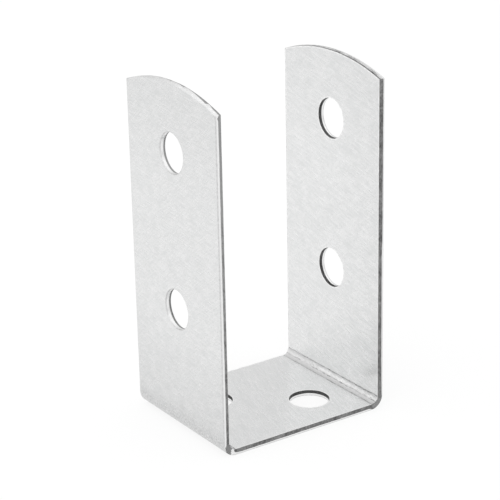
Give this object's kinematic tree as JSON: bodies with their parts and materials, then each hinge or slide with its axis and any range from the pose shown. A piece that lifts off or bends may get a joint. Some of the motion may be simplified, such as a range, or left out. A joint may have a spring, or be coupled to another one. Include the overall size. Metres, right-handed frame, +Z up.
{
  "type": "u bracket",
  "caption": "Folded galvanised steel U bracket: flat base with diagonal bolt holes, tall legs with arched tops and bolt holes, for holding a timber rail or post end.",
  "frame": {"origin": "middle of the base's underside", "axes": "+X across the two legs, +Y along the width of the strip, +Z up the legs"},
  "size_m": [0.05, 0.0404, 0.0925],
  "materials": {
    "galvanised_sheet": "satin zinc-coated sheet with bare sheared edges"
  },
  "bodies": {
    "root": {"bracket": "galvanised_sheet"}
  },
  "joints": []
}
